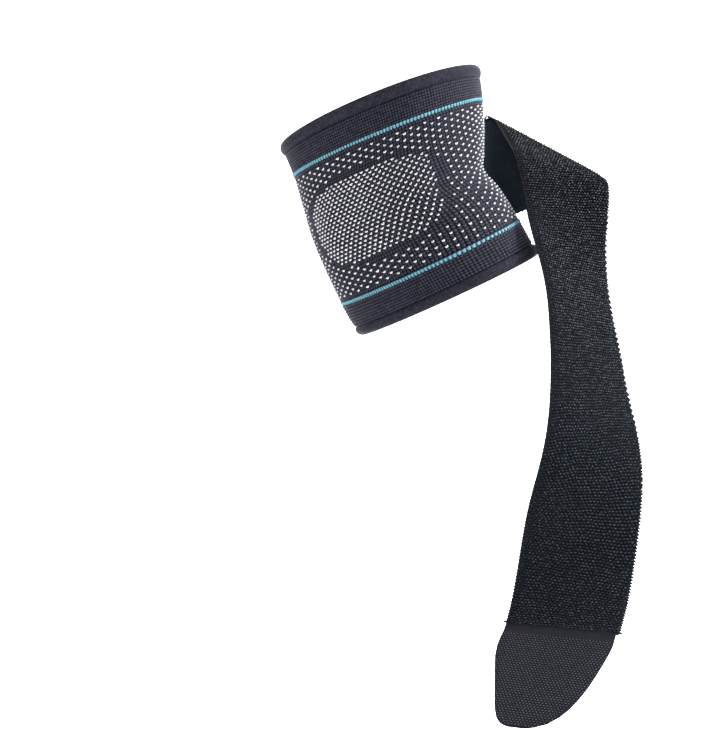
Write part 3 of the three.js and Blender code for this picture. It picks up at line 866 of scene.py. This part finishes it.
# The fringe ends at this level, the upper edge has loops again from the next, and none lie on the seam.
FRINGE_TO, EDGE_FROM, SEAM_CLEAR = 46, 75, 0.9
arch_path = np.column_stack([ARCH[:, 0], np.zeros(len(ARCH)), ARCH[:, 1]])
arch_points, arch_faces = tube(arch_path, ARCH[:, 2], ARCH_SIDES)
arch_tip = np.repeat(ARCH[:, 3], ARCH_SIDES)
for half_name, parity in (("even", 0), ("odd", 1)):
    column, level, along, across = loop_places(parity)
    place, frames = strap_frames(along, across)
    rolled = fold_roll(along, across)
    fringe = (column >= EDGE_COLUMN) & (level < FRINGE_TO)
    stance = loop_stance(frames, column, rolled, fringe)
    bright = loop_light(column, level, rolled, fringe)
    place = place + np.where(fringe, FRINGE_LIFT, LOOP_LIFT)[:, None] * frames[:, 2]
    kept = (column < EDGE_COLUMN) | fringe | ((column == EDGE_COLUMN) & (level > EDGE_FROM))
    kept &= off_seam(along, across) > SEAM_CLEAR
    points, faces = copies(arch_points, arch_faces, place[kept], stance[kept])
    # A loop's colour share: painted light on its top, and low on the strap painted light on all of it.
    tips = bright[kept][:, None] * arch_tip + LOW_FOOT_LIGHT * low_strap_painted_light(level)[kept][:, None]
    loops = add_piece(f"strap_loops_{half_name}", points, faces, loop_yarn, attributes={"tip": tips})

# %% [markdown]
# ## Edge knuckles and the sewn root
# At the strap's edges the weft turns back round the last warp and makes a row of small knuckles. On the
# right edge they are drawn out into teeth where the band is pulled; on the left they show only low down.
# A knuckle is a short cone, copied along the edges, and the last ones, at the weld, are frayed longer. The
# hidden root is sewn down with a rectangle of long stitches.

# %% Edge knuckles
# A knuckle from base to point: out and radius
KNUCKLE = np.array([(-0.4, 0.55), (0.2, 0.56), (0.62, 0.42), (0.95, 0.14)])
KNUCKLE_PITCH, KNUCKLE_SIDES, KNUCKLE_AT, KNUCKLE_STOP = 1.45, 6, 24.75, 0.3
RIGHT_FROM, LEFT_FROM = 70.0, 215.0
# Lengths at the two edges, then what is added to odd and even teeth where they are drawn, and at the weld
RIGHT_LONG, LEFT_LONG, ODD_MORE, EVEN_MORE, WELD_MORE = 1.15, 0.7, 0.95, -0.3, 1.1
DRAWN_LEVELS, WELD_REACH = (85, 130, 205, 235), 2.2
TOOTH_LEAN = 0.4
knuckle_points, knuckle_faces = tube(straight_path(KNUCKLE[:, 0], 2), KNUCKLE[:, 1], KNUCKLE_SIDES)
level = np.arange(RIGHT_FROM, STRAP_LENGTH - KNUCKLE_STOP, KNUCKLE_PITCH)
by_turns = np.where(np.arange(len(level)) % 2, ODD_MORE, EVEN_MORE)
at_weld = WELD_MORE * (level > STRAP_LENGTH - WELD_REACH)
right_long = RIGHT_LONG + plateau(DRAWN_LEVELS, level) * by_turns + at_weld
left = level > LEFT_FROM
long = np.concatenate([right_long, (LEFT_LONG + at_weld)[left]])
edge = np.concatenate([-np.ones(len(level)), np.ones(left.sum())])
level = np.concatenate([level, level[left]])
place, frames = strap_frames(level, KNUCKLE_AT * edge)
crossways, lengthways, outward = np.moveaxis(frames, 1, 0)
point_to = unit(edge[:, None] * crossways + TOOTH_LEAN * (edge < 0)[:, None] * lengthways)
breadth = unit(np.cross(outward, point_to))
turned = np.stack([breadth, unit(np.cross(point_to, breadth)), long[:, None] * point_to], 1)
points, faces = copies(knuckle_points, knuckle_faces, place, turned)
on_points = {"selvedge": np.ones(len(points))}
knuckles = add_piece("strap_edge_knuckles", points, faces, webbing, attributes=on_points)

# %% Seam stitches
# Bonded polyester thread, smooth and a little glossy, pulled down into the pile along the rectangle.
thread, tree, shader = new_material("bonded_polyester_thread", Roughness=0.45)
at = add_node(tree, "ShaderNodeTexCoord", out="Object")
ply = add_node(tree, "ShaderNodeTexNoise", {"Vector": at, "Scale": 1500.0})
colour = add_node(
    tree, MIX, {"Factor": ply, 6: linear("#0d0d10"), 7: linear("#26272d")}, 2, data_type="RGBA"
)
tree.links.new(colour, shader.inputs["Base Color"])
run_along = np.arange(-SEAM_HALF_ALONG, SEAM_HALF_ALONG, SEAM_STITCH) + SEAM_STITCH / 2
run_across = np.arange(-SEAM_HALF_ACROSS, SEAM_HALF_ACROSS, SEAM_STITCH) + SEAM_STITCH / 2
both = np.array([-1.0, 1.0])
seam_along = np.concatenate([np.tile(run_along, 2), np.repeat(both, len(run_across)) * SEAM_HALF_ALONG])
seam_across = np.concatenate([np.repeat(both, len(run_along)) * SEAM_HALF_ACROSS, np.tile(run_across, 2)])
place, frames = strap_frames(SEAM_MIDDLE + seam_along, seam_across)
quarter = np.where(np.arange(len(seam_along)) < 2 * len(run_along), 0.0, np.pi / 2)
# A stitch from end to end: along and radius
STITCH = np.array([(-1.45, 0.12), (-1.1, 0.32), (0.0, 0.40), (1.1, 0.32), (1.45, 0.12)])
STITCH_SIDES, STITCH_LIFT = 6, 0.75
stitch_points, stitch_faces = tube(straight_path(STITCH[:, 0], 1), STITCH[:, 1], STITCH_SIDES)
place = place + STITCH_LIFT * frames[:, 2]
points, faces = copies(stitch_points, stitch_faces, place, tilted(frames, quarter))
seam = add_piece("strap_seam", points, faces, thread)

# %% [markdown]
# ## Hook tab
# The strap ends in a tongue of stiff hook tape. A smooth pressed band joins it to the webbing; past
# that its front is a flat close weave with pale specks, and its back is a bed of tiny moulded hooks.

# %% Tab mesh
# The outline starts just past the strap's end.
TAB_GAP = 0.3
# The weld presses the tab's end into the webbing.
TAB_TUCK = 1.0
TAB_ALONG = np.array([0.0, 4.0, 7.0, 12.0, 18.0, 24.0, 30.0, 36.0, 42.0, 46.5, 50.5, 52.8, 54.2])
TAB_LEFT = np.array([24.9, 25.1, 25.5, 25.8, 25.2, 23.8, 22.2, 20.7, 19.1, 17.8, 16.1, 14.0, 10.6])
TAB_RIGHT = np.array([-24.0, -24.0, -23.9, -23.0, -21.6, -20.0, -18.2, -15.9, -13.0, -9.8, -5.6, -0.9, 3.6])
WELD_TALL, WELD_HALF, TAB_HALF = 4.5, 0.45, 0.75
# How sharply the sides are rounded, over what length the two ends are, and where the tip's arc starts
RIM_POWER, TIP_ROUND, END_ROUND, TIP_FROM = 12, 0.8, 0.4, 50.5
BODY_ROWS, TIP_ROWS, TAB_COLUMNS = 85, 14, 60
# Pitches of the weave's specks
SPECK_WIDE, SPECK_TALL = 1.45, 1.22


def tab_grid(along, share, face):
    """Left and right edges from the outline table, share of the way across, half a thickness out."""
    left, right = np.interp(along, TAB_ALONG, TAB_LEFT), np.interp(along, TAB_ALONG, TAB_RIGHT)
    across = left + (right - left) * share
    place, frames = strap_frames(STRAP_LENGTH + TAB_GAP + along, across)
    rim = np.sqrt(np.clip(1 - np.abs(2 * share - 1) ** RIM_POWER, 0, 1))
    from_tip = np.clip((TAB_ALONG[-1] - along) / TIP_ROUND, 0, 1)
    from_end = np.clip((along + TAB_TUCK) / END_ROUND, 0, 1)
    thick = WELD_HALF + (TAB_HALF - WELD_HALF) * smooth_step(WELD_TALL - 0.3, WELD_TALL + 0.5, along)
    out = face * thick * rim * np.sqrt(from_tip * from_end)
    return place + out[..., None] * frames[..., 2, :], across


tip_arc = np.sin(np.linspace(0.1, np.pi / 2, TIP_ROWS))
tab_rows = np.concatenate([
    [-TAB_TUCK, 0.15 - TAB_TUCK],
    np.linspace(END_ROUND - TAB_TUCK, TIP_FROM, BODY_ROWS),
    TIP_FROM + (TAB_ALONG[-1] - TIP_FROM) * tip_arc,
])
tab_shares = 0.5 - 0.5 * np.cos(np.linspace(0, np.pi, TAB_COLUMNS))
along, share = np.meshgrid(tab_rows, np.concatenate([tab_shares, tab_shares[::-1][1:-1]]), indexing="ij")
ring = along.shape[1]
face = np.where(np.arange(ring) < len(tab_shares), 1.0, -1.0) * np.ones_like(along)
skin, across = tab_grid(along, share, face)
_, corner_i, corner_j = grid_faces(*along.shape, wrap_columns=True)
wrapped = corner_j % ring
corner_across, corner_along = across[corner_i, wrapped], along[corner_i, wrapped]
tab_uv = np.pi * np.stack([corner_across / SPECK_WIDE, corner_along / SPECK_TALL], -1)
# Both end rows have no thickness, so there the back shares the front's points and closes the tab.
at_end = (corner_i == 0) | (corner_i == len(tab_rows) - 1)
number = corner_i * ring + np.where(at_end, np.minimum(wrapped, ring - wrapped), wrapped)
used, faces = np.unique(number, return_inverse=True)
faces = faces.reshape(-1, 4)

# %% Tab material
# Flat woven nylon: dull, with a brick of pale specks where the weft shows; the weld has fine ribs.
tab_weave, tree, shader = new_material("woven_hook_tape", Roughness=0.75, Specular_IOR_Level=0.04)
uv = add_node(tree, "ShaderNodeUVMap", uv_map="stitches")
side, row_at, _ = add_node(tree, "ShaderNodeSeparateXYZ", [uv]).node.outputs
row_foot = add_node(tree, MATH, [row_at, np.pi], operation="SNAP")
brick = add_node(tree, MATH, [row_foot, 0.5, side], operation="MULTIPLY_ADD")
ribs = add_node(tree, MATH, [side, 2.0], operation="MULTIPLY")
waves = add_node(tree, "ShaderNodeCombineXYZ", [brick, row_at, ribs])
waves = add_node(tree, "ShaderNodeVectorMath", [waves], operation="SINE")
waves = add_node(tree, "ShaderNodeVectorMath", [waves], operation="ABSOLUTE")
wide, tall, rib = add_node(tree, "ShaderNodeSeparateXYZ", [waves]).node.outputs
speck = add_node(tree, MATH, [wide, tall], operation="MULTIPLY")
speck = add_node(tree, MATH, [speck, 3.5], operation="POWER")
at = add_node(tree, "ShaderNodeTexCoord", out="Object")
wear = add_node(tree, "ShaderNodeTexNoise", {"Vector": at, "Scale": 700.0, "Detail": 2.0})
speck = add_node(tree, MATH, [speck, wear], operation="MULTIPLY")
rib = add_node(tree, MATH, [rib, 0.08], operation="MULTIPLY")
weld_end = np.pi * WELD_TALL / SPECK_TALL
past_weld = add_node(tree, "ShaderNodeMapRange", [row_at, weld_end - 0.7, weld_end + 0.7])
pattern = add_node(tree, MIX, {"Factor": past_weld, 2: rib, 3: speck})
light = add_node(tree, "ShaderNodeMapRange", [pattern, 0.0, 0.6])
colour = add_node(
    tree, MIX, {"Factor": light, 6: linear("#0b0c10"), 7: linear("#404249")}, 2, data_type="RGBA"
)
tree.links.new(colour, shader.inputs["Base Color"])
bump = add_node(tree, "ShaderNodeBump", {"Strength": 0.4, "Distance": 0.0002, "Height": pattern})
tree.links.new(bump, shader.inputs["Normal"])
tab = add_piece("strap_tab_weave", skin.reshape(-1, 3)[used], faces, tab_weave, tab_uv)
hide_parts("strap_tab")

# %% [markdown]
# ## Hooks
# The tab's inner face is what grips the loops. It is hidden from the front, but real hook tape is a bed
# of small nylon stems whose tops bend over, half of them each way. One stem is a thin tube on a bent
# path, copied over the face a little inside the tab's outline.

# %% Tab hooks
HOOK_PITCH, HOOK_INSET, HOOK_SEAT = 1.7, 1.6, 0.6
HOOKS_ALONG, HOOKS_ACROSS = (6.5, 52.0), (-24.0, 25.5)
# A stem from foot to tip: along, out and radius
HOOK = np.array([
    (0.0, 0.0, 0.16),
    (0.0, 0.5, 0.13),
    (0.12, 0.8, 0.12),
    (0.36, 0.9, 0.11),
    (0.52, 0.72, 0.07),
])
HOOK_SIDES = 4
hook_path = np.column_stack([HOOK[:, 0], np.zeros(len(HOOK)), HOOK[:, 1]])
hook_points, hook_faces = tube(hook_path, HOOK[:, 2], HOOK_SIDES)
hook_grid = np.meshgrid(np.arange(*HOOKS_ALONG, HOOK_PITCH), np.arange(*HOOKS_ACROSS, HOOK_PITCH))
hook_along, hook_across = np.reshape(hook_grid, (2, -1))
inside = (
    (hook_across < np.interp(hook_along, TAB_ALONG, TAB_LEFT) - HOOK_INSET)
    & (hook_across > np.interp(hook_along, TAB_ALONG, TAB_RIGHT) + HOOK_INSET)
)
hook_along, hook_across = hook_along[inside], hook_across[inside]
place, frames = strap_frames(STRAP_LENGTH + TAB_GAP + hook_along, hook_across)
way = np.where(np.arange(len(place)) % 2, 1.0, -1.0)[:, None]
bent_over = np.stack([way * frames[:, 1], way * frames[:, 0], -frames[:, 2]], 1)
points, faces = copies(hook_points, hook_faces, place - HOOK_SEAT * frames[:, 2], bent_over)
# Moulded nylon monofilament: smoother than the weave, so each stem has a small highlight.
stem, tree, shader = new_material("nylon_hook_stems", Roughness=0.35)
at = add_node(tree, "ShaderNodeTexCoord", out="Object")
tone = add_node(tree, "ShaderNodeTexNoise", {"Vector": at, "Scale": 400.0})
colour = add_node(
    tree, MIX, {"Factor": tone, 6: linear("#141418"), 7: linear("#303036")}, 2, data_type="RGBA"
)
tree.links.new(colour, shader.inputs["Base Color"])
hooks = add_piece("tab_hooks", points, faces, stem)

# %% [markdown]
# ## Stage, light and camera
# A pale cove curves up all round, so that the ground has no edge from any side. Big soft lights stand at
# the front, the left and the right and over the backdrop. The camera looks level, from where the
# photograph was taken.

# %% Stage
FLOOR_Z = -0.262
FLAT_RADIUS, CURVE_RADIUS, WALL_TALL = 1.4, 1.6, 2.4
FLAT_RINGS, CURVE_RINGS, COVE_SIDES = 8, 16, 96
curve = np.linspace(0.1, np.pi / 2, CURVE_RINGS)
radius = np.concatenate([
    np.linspace(0.0, FLAT_RADIUS, FLAT_RINGS),
    FLAT_RADIUS + CURVE_RADIUS * np.sin(curve),
    [FLAT_RADIUS + CURVE_RADIUS],
])
rise = np.concatenate([np.zeros(FLAT_RINGS), CURVE_RADIUS * (1 - np.cos(curve)), [WALL_TALL]])
angle = np.linspace(0, 2 * np.pi, COVE_SIDES, endpoint=False)
bowl = np.stack([
    radius[:, None] * np.cos(angle),
    radius[:, None] * np.sin(angle),
    (FLOOR_Z + rise)[:, None] + 0 * angle,
], -1)
faces, _, _ = grid_faces(len(radius), len(angle), wrap_columns=True)
paper, tree, shader = new_material(
    "white_paper_cove", Roughness=0.9, Base_Color=linear("#f4f4f4"), Specular_IOR_Level=0.1
)
mesh = bpy.data.meshes.new("cove")
mesh.from_pydata(bowl.reshape(-1, 3).tolist(), [], faces.tolist())
mesh.shade_smooth()
mesh.materials.append(paper)
cove = bpy.data.objects.new("cove", mesh)
bpy.context.scene.collection.objects.link(cove)

# %% Lights
world = bpy.data.worlds.new("soft_room")
world.use_nodes = True
world.node_tree.nodes["Background"].inputs["Color"].default_value = (1.0, 1.0, 1.0, 1.0)
world.node_tree.nodes["Background"].inputs["Strength"].default_value = 0.5
bpy.context.scene.world = world
bpy.context.scene.view_settings.view_transform = "Standard"


def add_light(name, place, aim, size, power):
    """A square area light at place, turned so that it shines at aim."""
    lamp = bpy.data.lights.new(name, "AREA")
    lamp.size, lamp.energy = size, power
    made = bpy.data.objects.new(name, lamp)
    made.location = place
    direction = np.array(aim) - np.array(place)
    made.rotation_euler = Vector(direction).to_track_quat("-Z", "Y").to_euler()
    made.visible_camera = False
    bpy.context.scene.collection.objects.link(made)


add_light("key_front", (0.6, -1.1, 0.9), (0, 0, -0.05), 0.7, 16)
add_light("side_left", (-1.3, -0.1, 0.3), (0, 0, -0.08), 0.8, 14)
add_light("side_right", (1.15, 0.12, 0.8), (0.03, 0, 0.0), 0.6, 70)
add_light("backdrop", (0.0, 1.2, 1.6), (0.0, 1.6, -0.26), 1.6, 95)

# %% Camera
IMAGE_WIDTH = 713
FOCAL_PIXELS = 1470.0
CAMERA_AT = (-0.0279, -0.700, -0.0838)
lens = bpy.data.cameras.new("photo_view")
lens.sensor_fit = "HORIZONTAL"
lens.sensor_width = 36.0
lens.lens = lens.sensor_width * FOCAL_PIXELS / IMAGE_WIDTH
lens.clip_start, lens.clip_end = 0.01, 20.0
camera = bpy.data.objects.new("photo_view", lens)
camera.location = CAMERA_AT
camera.rotation_euler = (np.pi / 2, 0.0, 0.0)
bpy.context.scene.collection.objects.link(camera)
bpy.context.scene.camera = camera

# %% Finish
bpy.context.view_layer.update()
